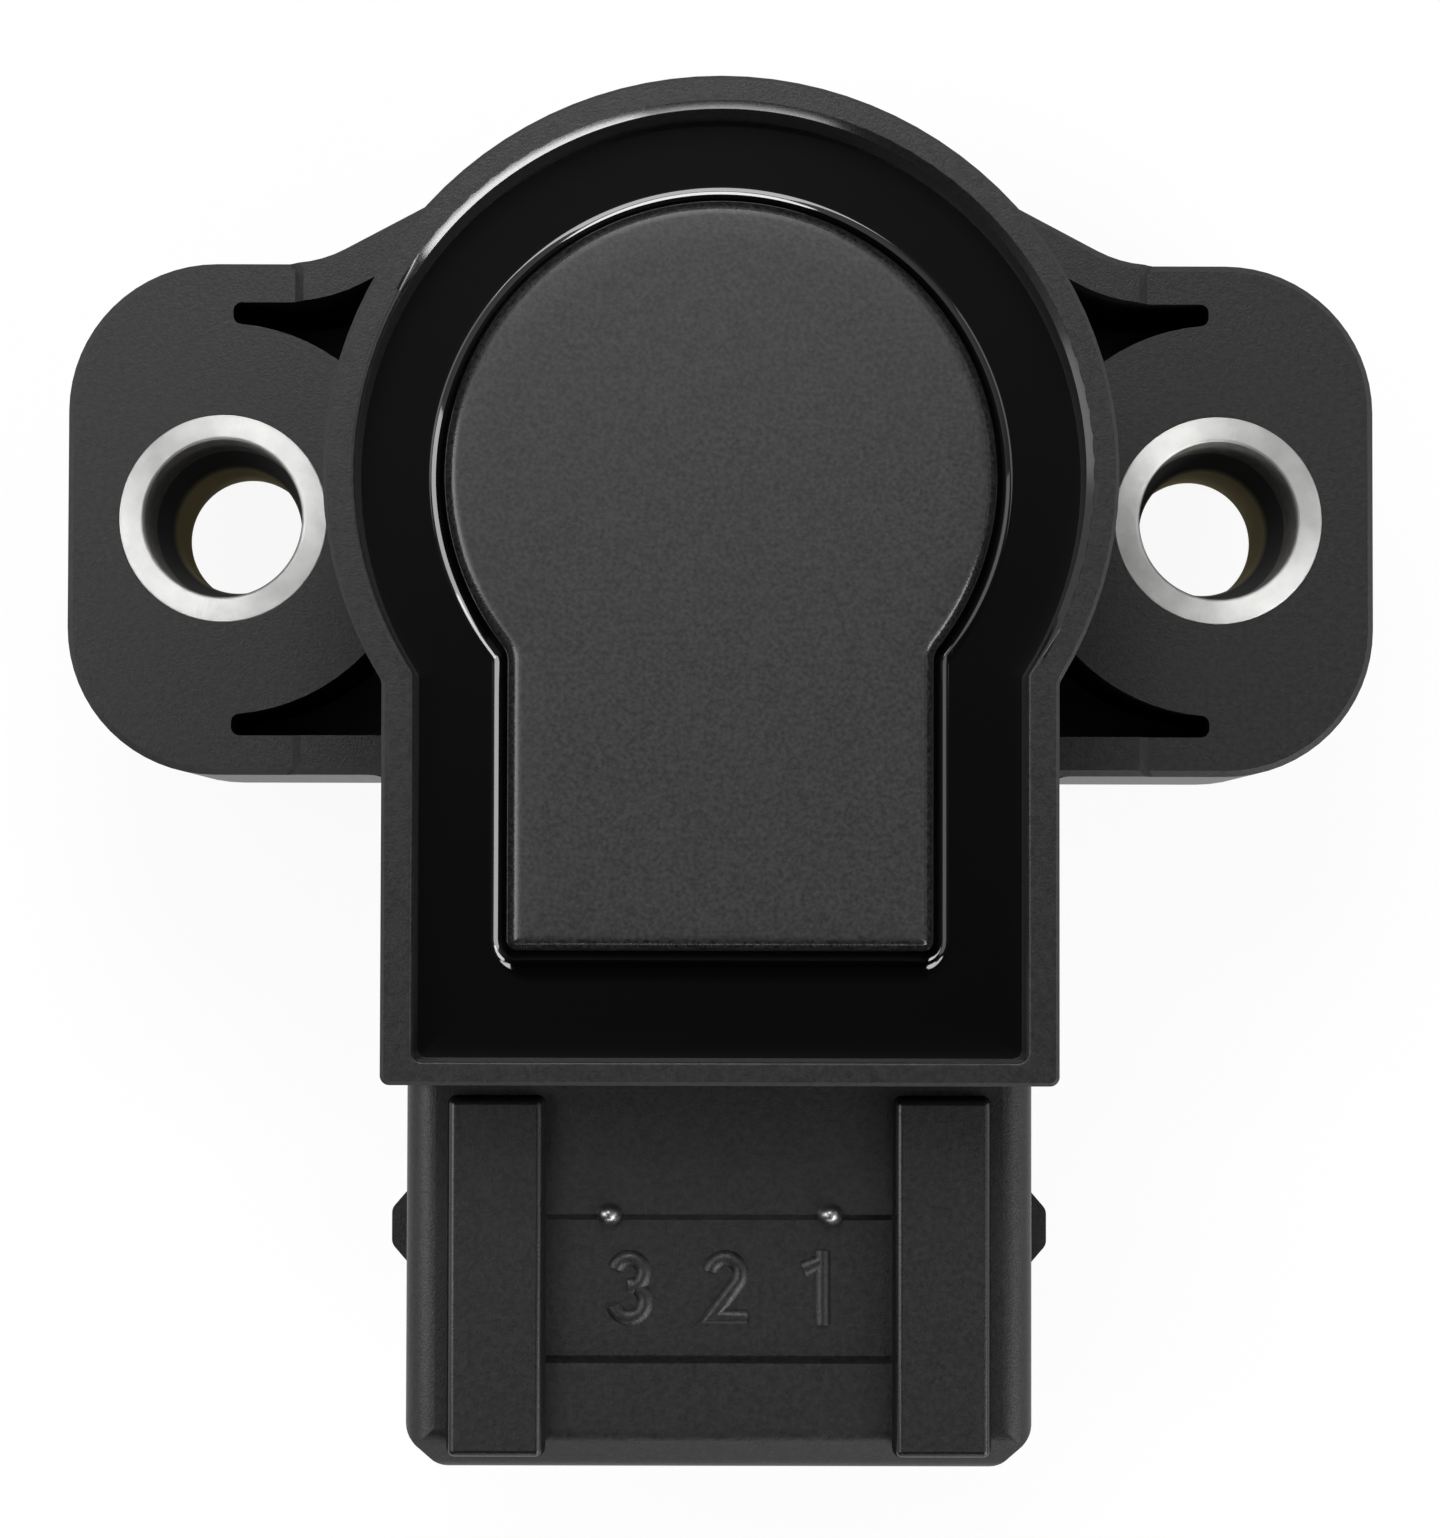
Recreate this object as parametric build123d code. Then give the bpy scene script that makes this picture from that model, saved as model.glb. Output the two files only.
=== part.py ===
from build123d import *
import math
import os

# Throttle position sensor, in millimetres. The origin is on the rotor axis in the plane of the
# mounting face. +X runs along the two screws, +Z faces away from the throttle body, and the
# connector points towards -Y.

# Screws and their steel sleeves
hole_spacing = 33.0
pad_height = 9.0
screw_bore = 4.3
head_bore = 5.2
head_bore_depth = 3.0
bore_step_length = 1.7
sleeve_diameter = 6.9

# Flange with two ears
ear_margin = 5.16
ear_half_height = 8.5
ear_corner = 4.9
ear_edge_break = 0.2
base_ledge = 0.63
web_corner_inset = 3.13
web_fillet = 4.0
root_fillet = 1.0
rib_width = 1.3
rib_rise = 0.3
rib_step_inset = 2.65
pocket_tip_height = 0.7
pocket_tip_inset = 0.3
pocket_tip_round = 0.3
pocket_floor = 2.0

# Pot: a round head about its own centre with a straight tail
pot_centre_y = 0.77
pot_radius = 12.47
tail_half_width = 10.59
tail_reach = 18.41
tail_relief = 1.0
pot_wall = 1.02
tail_wall = 0.78
rim_outer_break = 0.12
rim_inner_break = 0.24
neck_round = 0.4
tail_corner = 0.3

# Heights inside the pot, each one measured from the level below it
floor_thickness = 2.2
bearing_height = 3.3
thrust_gap = 0.1
disc_thickness = 1.6
wiper_room = 2.5
board_thickness = 1.0
solder_room = 1.9
cover_foot = 1.0
potting_depth = 1.1
cover_proud = 1.3
rim_freeboard = 2.3

# Widths inside the pot
cover_ledge = 1.03
board_ledge = 1.0
seat_gap = 0.2
moat_width = 2.7
tail_moat = 2.84
end_moat = 3.31

# Cover
cover_wall = 1.2
cover_edge_break = 0.3
cover_corner = 0.35
boss_wall = 1.3
boss_gap = 0.4

# Rotor, bearing and locating spigot
spigot_radius = 9.0
spigot_length = 3.0
spigot_chamfer = 0.4
hub_radius = 5.6
hub_inset = 0.4
running_gap = 0.05
bearing_wall = 0.7
socket_radius = 4.0
socket_flat = 3.0
socket_depth = 6.5
pivot_radius = 1.5
pivot_end_gap = 0.3
seal_width = 1.5
seal_thickness = 1.4
seal_inset = 0.2

# End stops of the rotor
turn_range = 95.0
turn_spare = 1.5
stop_height = 0.9
stop_gap = 0.2
tab_angle = 16.0
stop_angle = 10.0

# Return spring
strip_thickness = 0.25
strip_pitch = 0.5
strip_half_turns = 3
strip_gap = 0.25
strip_edge_gap = 0.15
tang_angle = 10.0
tang_depth = 1.2
tang_gap = 0.1

# Wiper and printed tracks
wiper_sheet = 0.2
track_thickness = 0.1
track_width = 1.9
track_inset = 2.5
track_spacing = 2.3
track_overrun = 28.0
contact_gap = 0.06
finger_count = 3
finger_width = 0.45
finger_pitch = 0.6
finger_run = 2.8
finger_tip = 0.7
wiper_base = 2.0
stake_radius = 0.5
stake_head_radius = 0.75
stake_head_height = 0.3
stake_gap = 0.05

# Terminals and their solder
pin_pitch = 5.0
blade_height = 2.8
blade_thickness = 0.8
blade_tip_gap = 2.0
blade_tip_chamfer = 0.6
terminal_drop = 2.5
riser_width = 1.2
riser_proud = 0.9
riser_inset = 1.4
solder_foot_radius = 1.0
solder_top_radius = 0.75
solder_height = 0.5
well_length = 3.1
well_floor_gap = 0.6

# Connector shroud
shroud_width = 20.3
shroud_height = 9.6
shroud_length = 12.59
shroud_wall = 1.5
shroud_edge = 1.0
cavity_depth = 10.8
cavity_corner = 0.8
side_lip_length = 1.15
side_lip_drop = 1.1
side_lip_round = 0.9
face_lip_length = 1.05
face_lip_drop = 0.95
face_lip_round = 0.8
key_inner_x = 5.68
key_width = 3.0
key_height = 0.9
key_root_gap = 0.6
key_mouth_gap = 0.55
key_edge_break = 0.2
panel_gap = 0.1
panel_start = 4.34
panel_length = 4.8
panel_depth = 0.25
panel_slope = 0.2
panel_wall_slope = 0.13
groove_width = 0.1
groove_depth = 0.04
pip_radius = 0.31
pip_sides = 8
pip_height = 0.2
pip_x = 3.57
lug_proud = 0.62
lug_start = 3.65
lug_length = 2.6
lug_slope = 0.72
lug_round = 0.4
lug_height = 4.0

# Places worked out from the sizes above
hole_x = hole_spacing / 2
ear_end = hole_x + ear_margin
base_radius = pot_radius + base_ledge
rib_inner_y = ear_half_height - rib_width
pad_boss_radius = rib_inner_y - pocket_tip_height
tail_end = -tail_reach
inner_radius = pot_radius - pot_wall
inner_half_width = tail_half_width - pot_wall
inner_end = tail_end + tail_wall
pocket_radius = inner_radius - cover_ledge
pocket_half_width = inner_half_width - cover_ledge
pocket_end = inner_end + cover_ledge
chamber_radius = pocket_radius - board_ledge

bearing_top = floor_thickness + bearing_height
disc_back = bearing_top + thrust_gap
disc_front = disc_back + disc_thickness
board_seat = disc_front + wiper_room
board_top = board_seat + board_thickness
cover_seat = board_top + solder_room
foot_top = cover_seat + cover_foot
potting_level = foot_top + potting_depth
cover_top = potting_level + cover_proud
cover_roof = cover_top - cover_wall
rim_top = potting_level + rim_freeboard

bore_radius = hub_radius + running_gap
seal_radius = bore_radius + seal_width
hub_end = -spigot_length + hub_inset
pivot_bore_radius = pivot_radius + running_gap
pivot_bore_end = cover_roof - cover_wall + pivot_end_gap
pivot_end = pivot_bore_end - pivot_end_gap
disc_radius = chamber_radius - stop_height - stop_gap
tab_radius = chamber_radius - stop_gap
strip_radius = bore_radius + bearing_wall + strip_gap + strip_thickness / 2
strip_low = floor_thickness + strip_edge_gap
strip_high = disc_back - strip_edge_gap

outer_track = chamber_radius - track_inset
inner_track = outer_track - track_spacing
wiper_rest_angle = 90.0 - turn_range / 2
tab_rest_angle = wiper_rest_angle + 180.0

shroud_z = board_seat - terminal_drop
shroud_top = shroud_z + shroud_height / 2
mouth_y = tail_end - shroud_length
cavity_back = mouth_y + cavity_depth
riser_y = pocket_end + seat_gap + riser_inset + riser_width / 2
well_start = pocket_end + board_ledge
pin_places = {"terminal_3": -pin_pitch, "terminal_2": 0.0, "terminal_1": pin_pitch}


def prism(outline, low, high):
    """An outline in the XY plane raised from one height to another."""
    return extrude(Pos(0, 0, low) * outline, amount=high - low)


def round_bar(radius, low, high):
    """A cylinder on the rotor axis."""
    return prism(Circle(radius), low, high)


def block(x_span, y_span, z_span):
    """A box between two places on each axis."""
    spans = (x_span, y_span, z_span)
    sizes = [high - low for low, high in spans]
    centre = [(low + high) / 2 for low, high in spans]
    return Pos(*centre) * Box(*sizes)


def broken_edge(solid, size):
    """A solid with the edges of its top face chamfered."""
    return chamfer(solid.faces().sort_by(Axis.Z)[-1].edges(), size)


def nearest(outline, places):
    """The outline's corners that lie nearest to the given places."""
    return [outline.vertices().sort_by_distance(Vector(*place))[0] for place in places]


def keyhole(radius, half_width, end_y, corner):
    """A round head about the pot's centre with a straight tail, its corners rounded."""
    tail_length = pot_centre_y - end_y
    tail = Pos(0, pot_centre_y - tail_length / 2) * Rectangle(2 * half_width, tail_length)
    outline = Pos(0, pot_centre_y) * Circle(radius) + tail
    neck_y = pot_centre_y - math.sqrt(radius**2 - half_width**2)
    necks = nearest(outline, [(-half_width, neck_y), (half_width, neck_y)])
    outline = fillet(necks, neck_round)
    tail_corners = nearest(outline, [(-half_width, end_y), (half_width, end_y)])
    return fillet(tail_corners, corner)


def ring_sector(inner, outer, start, end):
    """Part of a flat ring about the rotor axis, between two angles."""
    outer_arc = CenterArc((0, 0), outer, start, end - start)
    inner_arc = CenterArc((0, 0), inner, start, end - start)
    sides = [Line(inner_arc @ 0, outer_arc @ 0), Line(inner_arc @ 1, outer_arc @ 1)]
    return make_face([outer_arc, inner_arc] + sides)


def pot_outline(inset=0.0, end_inset=0.0):
    """The pot's own outline, drawn in by a wall."""
    return keyhole(pot_radius - inset, tail_half_width - inset, tail_end + end_inset, tail_corner)


def pot_inside():
    """The outline of the rim's inner wall."""
    return pot_outline(pot_wall, tail_wall)


def cover_outline(inset=0.0):
    """The outline of the raised cover, drawn in by a wall."""
    radius = inner_radius - moat_width - inset
    half_width = inner_half_width - tail_moat - inset
    return keyhole(radius, half_width, inner_end + end_moat + inset, cover_corner)


def flange_outline():
    """Two ears on the screw line, with webs that run up tangent to the round base."""
    ears = RectangleRounded(2 * ear_end, 2 * ear_half_height, ear_corner)
    corner_x = hole_x - web_corner_inset
    rise = ear_half_height - pot_centre_y
    reach = math.hypot(corner_x, rise)
    touch_angle = math.atan2(rise, corner_x) + math.acos(base_radius / reach)
    touch_x = base_radius * math.cos(touch_angle)
    touch_y = pot_centre_y + base_radius * math.sin(touch_angle)
    right = [(touch_x, touch_y), (corner_x, ear_half_height), (corner_x, 0)]
    left = [(-x, y) for x, y in reversed(right)]
    webs = make_face(Polyline(*right, *left, close=True))
    outline = ears + webs + Pos(0, pot_centre_y) * Circle(base_radius)
    corners = nearest(outline, [(-corner_x, ear_half_height), (corner_x, ear_half_height)])
    return fillet(corners, web_fillet)


def flange_pockets(outline):
    """The deep pockets between the screw bosses, the outer ribs and the pot."""
    tip_x = hole_x - pocket_tip_inset
    bosses = Pos(-hole_x, 0) * Circle(pad_boss_radius) + Pos(hole_x, 0) * Circle(pad_boss_radius)
    inside = offset(outline, -rib_width)
    pockets = inside & Rectangle(2 * tip_x, 4 * base_radius)
    pockets = pockets - bosses - pot_outline()
    tips = pockets.vertices().filter_by(lambda corner: abs(corner.X) > tip_x - rib_width / 10)
    return fillet(tips, min(pocket_tip_round, 0.4 * pocket_tip_height))


def make_flange():
    """The flange plate with its ears and pockets, and the ribs that stand a little above the ears."""
    outline = flange_outline()
    rib_top, rib_foot = pad_height + rib_rise, pad_height - ear_edge_break
    plate = broken_edge(prism(outline, 0, pad_height), ear_edge_break)
    ribs = broken_edge(prism(outline, rib_foot, rib_top), ear_edge_break)
    step_x = hole_x - rib_step_inset
    ramp_x = step_x + rib_top - rib_foot
    ramps = [(-ramp_x, rib_foot), (ramp_x, rib_foot), (step_x, rib_top), (-step_x, rib_top)]
    ribs &= extrude(make_face(Plane.XZ * Polyline(*ramps, close=True)), amount=2 * base_radius, both=True)
    half_gap = rib_inner_y - pocket_tip_height / 2
    ribs -= prism(Rectangle(2 * ear_end, 2 * half_gap), rib_foot, rib_top)
    plate += ribs
    return plate - prism(flange_pockets(outline), pocket_floor, rib_top)


def make_root():
    """The fillets between the flange's lower edge and the pot's tail."""
    half_span = tail_half_width + root_fillet
    bar = Pos(0, -ear_half_height / 2) * Rectangle(2 * ear_end - 2 * ear_corner, ear_half_height)
    foot_length = ear_half_height + 2 * root_fillet
    outline = bar + Pos(0, -foot_length / 2) * Rectangle(2 * tail_half_width, foot_length)
    places = [(-tail_half_width, -ear_half_height), (tail_half_width, -ear_half_height)]
    outline = fillet(nearest(outline, places), root_fillet)
    corner = Pos(0, -ear_half_height) * Rectangle(2 * half_span, 2 * root_fillet)
    return prism(outline & corner, 0, pad_height)


def make_pot():
    """The pot's outer form with broken rim edges; the inside is cut later."""
    pot = prism(pot_outline(), 0, rim_top) - prism(pot_inside(), cover_seat, rim_top)
    rim = pot.faces().sort_by(Axis.Z)[-1]
    pot = chamfer(rim.outer_wire().edges(), rim_outer_break)
    rim = pot.faces().sort_by(Axis.Z)[-1]
    return chamfer(rim.inner_wires()[0].edges(), rim_inner_break)


def lip_outline(width, length, drop, rounding):
    """The shroud seen square on, along the first axis, with its mouth drawn in by a rounded lip."""
    half = width / 2
    upper = [(inner_end, half), (mouth_y + length, half), (mouth_y, half - drop)]
    lower = [(y, -across) for y, across in reversed(upper)]
    outline = make_face(Polyline(*upper, *lower, close=True))
    return fillet(nearest(outline, upper[1:] + lower[:-1]), rounding)


def make_shroud():
    """The connector shroud: a rounded box whose mouth is drawn in on all four sides."""
    section = Plane.XZ * Pos(0, shroud_z) * RectangleRounded(shroud_width, shroud_height, shroud_edge)
    bar = Pos(0, inner_end, 0) * extrude(section, amount=inner_end - mouth_y)
    faces = lip_outline(shroud_height, face_lip_length, face_lip_drop, face_lip_round)
    sides = lip_outline(shroud_width, side_lip_length, side_lip_drop, side_lip_round)
    from_side = Plane((0, 0, shroud_z), x_dir=(0, 1, 0), z_dir=(1, 0, 0))
    from_front = Plane((0, 0, shroud_z), x_dir=(0, 1, 0), z_dir=(0, 0, 1))
    bar &= extrude(from_side * faces, amount=shroud_width, both=True)
    return bar & extrude(from_front * sides, amount=shroud_height, both=True)


def make_key_bars():
    """The two raised bars on the front of the shroud, with broken corners and upper edges."""
    bar = block(
        (key_inner_x, key_inner_x + key_width),
        (mouth_y + key_mouth_gap, tail_end - key_root_gap),
        (shroud_top - shroud_wall / 2, shroud_top + key_height),
    )
    top_edges = bar.faces().sort_by(Axis.Z)[-1].edges()
    bar = chamfer(top_edges + bar.edges().filter_by(Axis.Z), key_edge_break)
    return bar + mirror(bar, about=Plane.YZ)


def make_lugs():
    """The locking lugs on the shroud's sides, sloped at both ends."""
    start, end = tail_end - lug_start, tail_end - lug_start - lug_length
    side_x, tip_x = shroud_width / 2, shroud_width / 2 + lug_proud
    root_x = side_x - shroud_wall / 2
    tips = [(tip_x, start - lug_slope), (tip_x, end + lug_slope)]
    profile = [(root_x, start), (side_x, start), *tips, (side_x, end), (root_x, end)]
    outline = make_face(Polyline(*profile, close=True))
    outline = fillet(nearest(outline, tips), lug_round)
    lug = Pos(0, 0, shroud_z) * extrude(outline, amount=lug_height / 2, both=True)
    return lug + mirror(lug, about=Plane.YZ)


def make_panel_cut():
    """The shallow panel for the pin numbers, with a sloped upper edge and a groove at its lower edge."""
    start, end = tail_end - panel_start, tail_end - panel_start - panel_length
    floor = shroud_top - panel_depth
    groove_y = end + panel_wall_slope
    profile = [
        (start, shroud_top),
        (start - panel_slope, floor),
        (groove_y + groove_width, floor),
        (groove_y, floor - groove_depth),
        (end, shroud_top),
    ]
    side = make_face(Plane.YZ * Polyline(*profile, close=True))
    return extrude(side, amount=key_inner_x - panel_gap, both=True)


def make_pips():
    """Two small pips on the upper edge of the panel."""
    foot = Pos(pip_x, tail_end - panel_start) * RegularPolygon(pip_radius, pip_sides)
    pip = prism(foot, shroud_top - panel_depth, shroud_top + pip_height)
    return pip + mirror(pip, about=Plane.YZ)


def make_spigot():
    """The round spigot that centres the sensor on the throttle body."""
    spigot = round_bar(spigot_radius, -spigot_length, pocket_floor)
    end = spigot.faces().sort_by(Axis.Z)[0]
    return chamfer(end.edges(), spigot_chamfer)


def make_stops():
    """The two blocks in the rotor chamber that stop the rotor's tab."""
    inner = chamber_radius - stop_height
    outer = chamber_radius + stop_gap
    half_tab = tab_angle / 2 + turn_spare
    low_end = tab_rest_angle - half_tab
    high_start = tab_rest_angle + turn_range + half_tab
    low_stop = ring_sector(inner, outer, low_end - stop_angle, low_end)
    high_stop = ring_sector(inner, outer, high_start, high_start + stop_angle)
    height = (floor_thickness - stop_gap, disc_front)
    return prism(low_stop, *height) + prism(high_stop, *height)


def strip_part(half_turn, start, end, spare=0.0):
    """Part of one half turn of the spring's strip, with room left round it."""
    centre = Pos(half_turn % 2 * strip_pitch / 2, 0)
    radius = strip_radius + half_turn * strip_pitch / 2
    reach = strip_thickness / 2 + spare
    room = math.degrees(spare / radius)
    return centre * ring_sector(radius - reach, radius + reach, start - room, end + room)


def inner_tang(spare=0.0):
    """The tang at the strip's inner end, which the housing holds."""
    return strip_part(0, 0, tang_angle, spare)


def outer_tang(spare=0.0):
    """The tang at the strip's outer end, which the rotor carries round."""
    last = strip_half_turns - 1
    end = 180.0 * (1 + last % 2)
    return strip_part(last, end - tang_angle, end, spare)


def make_tang_slot():
    """The slot in the chamber floor that anchors the spring."""
    depth = tang_depth + tang_gap
    return prism(inner_tang(tang_gap), floor_thickness - depth, floor_thickness + tang_gap)


def make_housing(terminals):
    """The moulded housing, with holes for its sleeves and its terminals moulded in."""
    body = make_flange() + make_root() + make_pot() + make_spigot() + make_shroud()
    body = body - make_panel_cut() + make_key_bars() + make_lugs() + make_pips()
    relief_start = -ear_half_height - root_fillet
    relief = ((-shroud_width, shroud_width), (2 * mouth_y, relief_start), (-tail_relief, tail_relief))
    body -= block(*relief)
    pocket = keyhole(pocket_radius, pocket_half_width, pocket_end, tail_corner)
    body -= prism(pocket, board_seat, cover_seat)
    body -= round_bar(chamber_radius, floor_thickness, board_seat)
    body += round_bar(bore_radius + bearing_wall, floor_thickness - stop_gap, bearing_top)
    body += make_stops()
    body -= round_bar(bore_radius, -spigot_length, bearing_top)
    body -= round_bar(seal_radius, -spigot_length, -spigot_length + seal_inset + seal_thickness)
    body -= make_tang_slot()
    well_x = pocket_half_width - board_ledge
    well_floor = shroud_z - blade_height / 2 - well_floor_gap
    body -= block((-well_x, well_x), (well_start, well_start + well_length), (well_floor, board_seat))
    cavity_width, cavity_height = shroud_width - 2 * shroud_wall, shroud_height - 2 * shroud_wall
    cavity = RectangleRounded(cavity_width, cavity_height, cavity_corner)
    cavity_section = Plane.XZ * Pos(0, shroud_z) * cavity
    body -= Pos(0, cavity_back, 0) * extrude(cavity_section, amount=2 * cavity_depth)
    for terminal in terminals:
        body -= terminal
    for side in (-1, 1):
        body -= Pos(side * hole_x, 0, 0) * round_bar(sleeve_diameter / 2, 0, pad_height)
    return body


def make_sleeve(side):
    """A steel sleeve with a counterbore for the screw's head end and a cone below it."""
    outer, wide, narrow = sleeve_diameter / 2, head_bore / 2, screw_bore / 2
    cone_top = pad_height - head_bore_depth
    profile = [
        (narrow, 0),
        (outer, 0),
        (outer, pad_height),
        (wide, pad_height),
        (wide, cone_top),
        (narrow, cone_top - bore_step_length),
    ]
    section = make_face(Plane.XZ * Polyline(*profile, close=True))
    return Pos(side * hole_x, 0, 0) * revolve(section, Axis.Z)


def make_cover():
    """The lid: a foot on the pot's ledge, a raised hollow top and a boss for the rotor's pivot."""
    foot_radius, foot_half = inner_radius - seat_gap, inner_half_width - seat_gap
    foot = prism(keyhole(foot_radius, foot_half, inner_end + seat_gap, tail_corner), cover_seat, foot_top)
    raised = broken_edge(prism(cover_outline(), cover_seat, cover_top), cover_edge_break)
    lid = foot + raised - prism(cover_outline(cover_wall), cover_seat, cover_roof)
    lid += round_bar(pivot_bore_radius + boss_wall, board_top + boss_gap, cover_roof)
    return lid - round_bar(pivot_bore_radius, board_top + boss_gap, pivot_bore_end)


def make_potting(cover):
    """The cast seal that fills the moat and the gap beside the cover's foot."""
    under_foot = pot_outline(pot_wall + cover_ledge / 2, tail_wall + cover_ledge / 2)
    fill = prism(pot_inside(), cover_seat, potting_level) - prism(under_foot, cover_seat, foot_top)
    return fill - cover - prism(cover_outline(), cover_seat, potting_level)


def make_rotor():
    """The rotor: a socketed hub, a disc with a stop tab, and a pivot at the front."""
    rotor = round_bar(hub_radius, hub_end, disc_front)
    rotor += round_bar(disc_radius, disc_back, disc_front)
    tab_start = tab_rest_angle - tab_angle / 2
    tab = ring_sector(disc_radius - stop_height, tab_radius, tab_start, tab_start + tab_angle)
    rotor += prism(tab, disc_back, disc_front)
    rotor += round_bar(pivot_radius, disc_front, pivot_end)
    socket_side = 2 * socket_radius
    beyond_flat = Pos(0, socket_flat + socket_radius) * Rectangle(socket_side, socket_side)
    rotor -= prism(Circle(socket_radius) - beyond_flat, hub_end, hub_end + socket_depth)
    rotor -= prism(outer_tang(tang_gap), disc_back, disc_back + tang_depth + tang_gap)
    wiper_top = disc_front + wiper_sheet
    stake = round_bar(stake_radius, disc_front, wiper_top)
    stake += round_bar(stake_head_radius, wiper_top, wiper_top + stake_head_height)
    for x, y in stake_places():
        rotor += Rot(0, 0, wiper_rest_angle) * Pos(x, y, 0) * stake
    return rotor


def stake_places():
    """Where the wiper is staked down, in the wiper's own frame."""
    y = -finger_run / 2 - wiper_base / 2
    return [(inner_track, y), (outer_track, y)]


def make_wiper():
    """A stamped contact: a flat base and two sets of fingers that rise to the tracks."""
    base_y = (-finger_run / 2 - wiper_base, -finger_run / 2)
    edge = track_width / 2
    wiper = block(
        (inner_track - edge, outer_track + edge),
        base_y,
        (disc_front, disc_front + wiper_sheet),
    )
    apex = board_seat - track_thickness - contact_gap
    rise = [
        (base_y[1] - wiper_sheet, disc_front),
        (base_y[1], disc_front),
        (finger_run / 2, apex - wiper_sheet),
        (finger_run / 2 + finger_tip, apex - wiper_sheet - finger_tip / 2),
        (finger_run / 2 + finger_tip, apex - finger_tip / 2),
        (finger_run / 2, apex),
        (base_y[1] - wiper_sheet, disc_front + wiper_sheet),
    ]
    finger_side = make_face(Plane.YZ * Polyline(*rise, close=True))
    finger = extrude(finger_side, amount=finger_width / 2, both=True)
    for track in (inner_track, outer_track):
        for index in range(finger_count):
            place = track + (index - (finger_count - 1) / 2) * finger_pitch
            wiper += Pos(place, 0, 0) * finger
    for x, y in stake_places():
        wiper -= Pos(x, y, 0) * round_bar(stake_radius + stake_gap, disc_front, disc_front + wiper_sheet)
    return Rot(0, 0, wiper_rest_angle) * wiper


def make_track_board():
    """The board, with two raised printed arcs on its back and slots for the terminals."""
    radius, half_width = pocket_radius - seat_gap, pocket_half_width - seat_gap
    board = prism(keyhole(radius, half_width, pocket_end + seat_gap, tail_corner), board_seat, board_top)
    board -= round_bar(pivot_radius + boss_gap, board_seat, board_top)
    start = wiper_rest_angle - track_overrun
    end = wiper_rest_angle + turn_range + track_overrun
    for track in (inner_track, outer_track):
        arc = ring_sector(track - track_width / 2, track + track_width / 2, start, end)
        board += prism(arc, board_seat - track_thickness, board_seat)
    for pin_x in pin_places.values():
        slot = Pos(pin_x, riser_y) * Rectangle(blade_thickness + seat_gap, riser_width + seat_gap)
        board -= prism(slot, board_seat, board_top)
    return board


def make_terminal(pin_x):
    """A flat stamping: the connector blade and a riser that stands up through the board."""
    low, high = shroud_z - blade_height / 2, shroud_z + blade_height / 2
    tip_y = mouth_y + blade_tip_gap
    top = board_top + riser_proud
    profile = [
        (tip_y, low + blade_tip_chamfer),
        (tip_y + blade_tip_chamfer, low),
        (riser_y + riser_width / 2, low),
        (riser_y + riser_width / 2, top),
        (riser_y - riser_width / 2, top),
        (riser_y - riser_width / 2, high),
        (tip_y + blade_tip_chamfer, high),
        (tip_y, high - blade_tip_chamfer),
    ]
    face = make_face(Plane.YZ * Polyline(*profile, close=True))
    return Pos(pin_x, 0, 0) * extrude(face, amount=blade_thickness / 2, both=True)


def make_solder(pin_x):
    """A cone of solder between the board and one terminal."""
    cone = Cone(solder_foot_radius, solder_top_radius, solder_height)
    cone = Pos(pin_x, riser_y, board_top + solder_height / 2) * cone
    riser = Pos(pin_x, riser_y) * Rectangle(blade_thickness, riser_width)
    return cone - prism(riser, board_top, board_top + solder_height)


def make_return_spring():
    """A flat spiral spring: half turns of growing radius about two centres, with a tang at each end."""
    strip = strip_part(0, 0, 180)
    for half_turn in range(1, strip_half_turns):
        start = 180.0 * (half_turn % 2)
        strip += strip_part(half_turn, start, start + 180)
    spring = prism(strip, strip_low, strip_high)
    spring += prism(inner_tang(), floor_thickness - tang_depth, strip_low)
    spring += prism(outer_tang(), strip_high, disc_back + tang_depth)
    return spring


def make_rotor_seal():
    """The rubber ring in the spigot that closes the gap round the hub."""
    low = -spigot_length + seal_inset
    ring = Circle(seal_radius) - Circle(bore_radius)
    return prism(ring, low, low + seal_thickness)


def main():
    sleeves = {"left_sleeve": make_sleeve(-1), "right_sleeve": make_sleeve(1)}
    terminals = {name: make_terminal(place) for name, place in pin_places.items()}
    cover = make_cover()
    solder = Compound(children=[make_solder(place).solid() for place in pin_places.values()])
    nodes = {
        "housing": make_housing(terminals.values()),
        "cover": cover,
        "potting_seal": make_potting(cover),
        "rotor": make_rotor(),
        "wiper": make_wiper(),
        "track_board": make_track_board(),
        "solder_joints": solder,
        "return_spring": make_return_spring(),
        "rotor_seal": make_rotor_seal(),
    }
    nodes.update(sleeves)
    nodes.update(terminals)
    os.makedirs("parts", exist_ok=True)
    for name, shape in nodes.items():
        export_step(shape, f"parts/{name}.step")


main()
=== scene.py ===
"""Looks of a three-pin throttle position sensor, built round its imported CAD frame.

Lengths in the dataclasses are millimetres in the part's own frame: the rotor axis is Z, the two
screws lie along X and the connector points towards -Y. Meshes are made in metres.
"""

import logging
import math
from dataclasses import dataclass
from enum import Enum
from typing import Any, ClassVar

import bmesh
import bpy
import numpy as np
from mathutils import Matrix, Vector


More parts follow.
